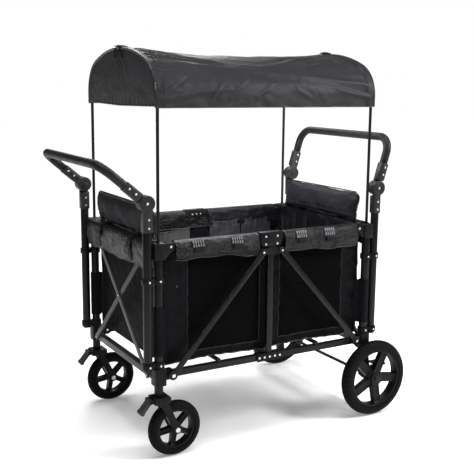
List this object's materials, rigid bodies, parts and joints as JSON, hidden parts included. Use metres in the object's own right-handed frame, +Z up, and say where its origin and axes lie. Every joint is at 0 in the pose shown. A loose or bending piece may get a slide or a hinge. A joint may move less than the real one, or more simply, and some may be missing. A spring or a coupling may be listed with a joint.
{
  "type": "stroller wagon",
  "caption": "Folding stroller wagon: fabric basket on a tube frame that folds lengthwise, hinged push handles at both ends, swivel casters, large rear wheels and a canopy on hoops",
  "frame": {"origin": "on the ground under the middle of the whole wagon's box", "axes": "+Z up, -X to the front with the casters, -Y to the left side that the picture shows"},
  "size_m": [1.1514, 0.676, 1.2777],
  "materials": {
    "frame_paint": "satin black powder coat",
    "moulding": "fine-grained black moulding",
    "hinge_grey": "dark grey grained moulding",
    "steel": "bright zinc plating",
    "tyre": "matt foam rubber with a shallow tread",
    "basket_cloth": "coated woven polyester with mesh windows",
    "canopy_cloth": "charcoal plain-weave polyester with a soft sheen",
    "grip": "smooth grip cover with a faint grain",
    "pedal_grey": "mid-grey moulding"
  },
  "bodies": {
    "front_frame": {"front_posts": "frame_paint", "front_post_caps": "moulding", "front_brackets": "moulding", "front_end_bars": "frame_paint", "front_handle_tubes": "frame_paint", "front_hinge_bases": "hinge_grey", "front_pins": "steel", "front_end_panel": "basket_cloth", "front_headrest": "basket_cloth", "side_panels": "basket_cloth"},
    "front_handle": {"front_handle_bar": "grip", "front_hinge_arms": "hinge_grey"},
    "front_left_button": {"front_left_button": "hinge_grey"},
    "front_right_button": {"front_right_button": "hinge_grey"},
    "left_caster": {"left_caster_fork": "moulding", "left_caster_axle": "steel"},
    "right_caster": {"right_caster_fork": "moulding", "right_caster_axle": "steel"},
    "left_caster_wheel": {"left_caster_hub": "moulding", "left_caster_tyre": "tyre"},
    "right_caster_wheel": {"right_caster_hub": "moulding", "right_caster_tyre": "tyre"},
    "left_caster_pedal": {"left_caster_pedal": "pedal_grey"},
    "right_caster_pedal": {"right_caster_pedal": "pedal_grey"},
    "front_top_rails": {"front_top_rails": "frame_paint", "front_side_rims": "basket_cloth"},
    "centre": {"centre_posts": "frame_paint", "centre_heads": "moulding"},
    "centre_sliders": {"centre_sliders": "moulding"},
    "rear_top_rails": {"rear_top_rails": "frame_paint", "rear_side_rims": "basket_cloth"},
    "rear_frame": {"rear_posts": "frame_paint", "rear_post_caps": "moulding", "rear_brackets": "moulding", "rear_end_bars": "frame_paint", "rear_handle_tubes": "frame_paint", "rear_hinge_bases": "hinge_grey", "rear_pins": "steel", "rear_end_panel": "basket_cloth", "rear_headrest": "basket_cloth", "rear_axle": "steel"},
    "front_bottom_rails": {"front_bottom_rails": "frame_paint", "front_floor": "basket_cloth"},
    "rear_bottom_rails": {"rear_bottom_rails": "frame_paint", "rear_floor": "basket_cloth"},
    "front_diagonals": {"front_diagonals": "frame_paint"},
    "rear_diagonals": {"rear_diagonals": "frame_paint"},
    "rear_handle": {"rear_handle_bar": "grip", "rear_hinge_arms": "hinge_grey"},
    "rear_left_button": {"rear_left_button": "hinge_grey"},
    "rear_right_button": {"rear_right_button": "hinge_grey"},
    "left_rear_wheel": {"left_rear_hub": "moulding", "left_rear_tyre": "tyre"},
    "right_rear_wheel": {"right_rear_hub": "moulding", "right_rear_tyre": "tyre"},
    "left_brake": {"left_brake_pedal": "pedal_grey"},
    "right_brake": {"right_brake_pedal": "pedal_grey"},
    "front_hoop": {"front_hoop": "frame_paint", "canopy": "canopy_cloth"},
    "rear_hoop": {"rear_hoop": "frame_paint"}
  },
  "joints": [
    {"name": "fold", "type": "hinge", "parent": "front_frame", "child": "front_top_rails", "pos_m": [-0.34429, 0, 0.677], "axis": [0, -1, 0], "range_deg": [0, 74], "deforming": ["side_panels", "front_side_rims", "rear_side_rims", "canopy"]},
    {"name": "centre_pivot", "type": "hinge", "parent": "front_top_rails", "child": "centre", "pos_m": [-0.00429, 0, 0.677], "axis": [0, 1, 0], "range_deg": [0, 74]},
    {"name": "rear_rail_pivot", "type": "hinge", "parent": "centre", "child": "rear_top_rails", "pos_m": [0.03971, 0, 0.677], "axis": [0, 1, 0], "range_deg": [0, 74]},
    {"name": "rear_frame_pivot", "type": "hinge", "parent": "rear_top_rails", "child": "rear_frame", "pos_m": [0.37971, 0, 0.677], "axis": [0, -1, 0], "range_deg": [0, 74]},
    {"name": "front_floor_pivot", "type": "hinge", "parent": "front_frame", "child": "front_bottom_rails", "pos_m": [-0.34429, 0, 0.272], "axis": [0, -1, 0], "range_deg": [0, 74]},
    {"name": "rear_floor_pivot", "type": "hinge", "parent": "rear_frame", "child": "rear_bottom_rails", "pos_m": [0.37971, 0, 0.272], "axis": [0, 1, 0], "range_deg": [0, 74]},
    {"name": "front_diagonal_pivot", "type": "hinge", "parent": "front_frame", "child": "front_diagonals", "pos_m": [-0.34429, 0, 0.272], "axis": [0, -1, 0], "range_deg": [0, 33]},
    {"name": "rear_diagonal_pivot", "type": "hinge", "parent": "rear_frame", "child": "rear_diagonals", "pos_m": [0.37971, 0, 0.272], "axis": [0, 1, 0], "range_deg": [0, 33]},
    {"name": "slider_slide", "type": "slide", "parent": "centre", "child": "centre_sliders", "axis": [0, 0, -1], "range_m": [0, 0.2095]},
    {"name": "front_handle_hinge", "type": "hinge", "parent": "front_frame", "child": "front_handle", "pos_m": [-0.42229, 0, 0.814], "axis": [0, 1, 0], "range_deg": [-65, 50]},
    {"name": "rear_handle_hinge", "type": "hinge", "parent": "rear_frame", "child": "rear_handle", "pos_m": [0.45771, 0, 0.814], "axis": [0, -1, 0], "range_deg": [-98, 17]},
    {"name": "front_left_button_push", "type": "slide", "parent": "front_handle", "child": "front_left_button", "axis": [0, -1, 0], "range_m": [0, 0.004], "stiffness_N_per_m": 500},
    {"name": "front_right_button_push", "type": "slide", "parent": "front_handle", "child": "front_right_button", "axis": [0, 1, 0], "range_m": [0, 0.004], "stiffness_N_per_m": 500},
    {"name": "rear_left_button_push", "type": "slide", "parent": "rear_handle", "child": "rear_left_button", "axis": [0, -1, 0], "range_m": [0, 0.004], "stiffness_N_per_m": 500},
    {"name": "rear_right_button_push", "type": "slide", "parent": "rear_handle", "child": "rear_right_button", "axis": [0, 1, 0], "range_m": [0, 0.004], "stiffness_N_per_m": 500},
    {"name": "left_caster_swivel", "type": "hinge", "parent": "front_frame", "child": "left_caster", "pos_m": [-0.38229, -0.27, 0.2], "axis": [0, 0, 1], "continuous": true},
    {"name": "left_caster_spin", "type": "hinge", "parent": "left_caster", "child": "left_caster_wheel", "pos_m": [-0.32929, -0.27, 0.09], "axis": [0, 1, 0], "continuous": true},
    {"name": "left_caster_lock", "type": "hinge", "parent": "left_caster", "child": "left_caster_pedal", "pos_m": [-0.41529, -0.27, 0.194], "axis": [0, -1, 0], "range_deg": [0, 20]},
    {"name": "right_caster_swivel", "type": "hinge", "parent": "front_frame", "child": "right_caster", "pos_m": [-0.38229, 0.27, 0.2], "axis": [0, 0, 1], "continuous": true},
    {"name": "right_caster_spin", "type": "hinge", "parent": "right_caster", "child": "right_caster_wheel", "pos_m": [-0.32929, 0.27, 0.09], "axis": [0, 1, 0], "continuous": true},
    {"name": "right_caster_lock", "type": "hinge", "parent": "right_caster", "child": "right_caster_pedal", "pos_m": [-0.41529, 0.27, 0.194], "axis": [0, -1, 0], "range_deg": [0, 20]},
    {"name": "left_rear_spin", "type": "hinge", "parent": "rear_frame", "child": "left_rear_wheel", "pos_m": [0.43971, -0.3126, 0.136], "axis": [0, 1, 0], "continuous": true},
    {"name": "left_brake_press", "type": "hinge", "parent": "rear_frame", "child": "left_brake", "pos_m": [0.43971, -0.25008, 0.136], "axis": [0, 1, 0], "range_deg": [0, 22]},
    {"name": "right_rear_spin", "type": "hinge", "parent": "rear_frame", "child": "right_rear_wheel", "pos_m": [0.43971, 0.3126, 0.136], "axis": [0, 1, 0], "continuous": true},
    {"name": "right_brake_press", "type": "hinge", "parent": "rear_frame", "child": "right_brake", "pos_m": [0.43971, 0.25008, 0.136], "axis": [0, 1, 0], "range_deg": [0, 22]},
    {"name": "canopy_lift", "type": "slide", "parent": "front_frame", "child": "front_hoop", "axis": [0, 0, 1], "range_m": [0, 0.16]},
    {"name": "rear_canopy_lift", "type": "slide", "parent": "rear_frame", "child": "rear_hoop", "axis": [0, 0, 1], "range_m": [0, 0.16]}
  ],
  "couplings": [
    {"joint": "centre_pivot", "follows": "fold", "ratio": 1},
    {"joint": "rear_rail_pivot", "follows": "fold", "ratio": 1},
    {"joint": "rear_frame_pivot", "follows": "fold", "ratio": 1},
    {"joint": "front_floor_pivot", "follows": "fold", "ratio": 1},
    {"joint": "rear_floor_pivot", "follows": "fold", "ratio": 1},
    {"joint": "front_diagonal_pivot", "follows": "fold", "ratio": 0.4431},
    {"joint": "rear_diagonal_pivot", "follows": "fold", "ratio": 0.4431},
    {"joint": "slider_slide", "follows": "fold", "m_per_rad": 0.16159},
    {"joint": "rear_canopy_lift", "follows": "canopy_lift", "ratio": 1}
  ]
}
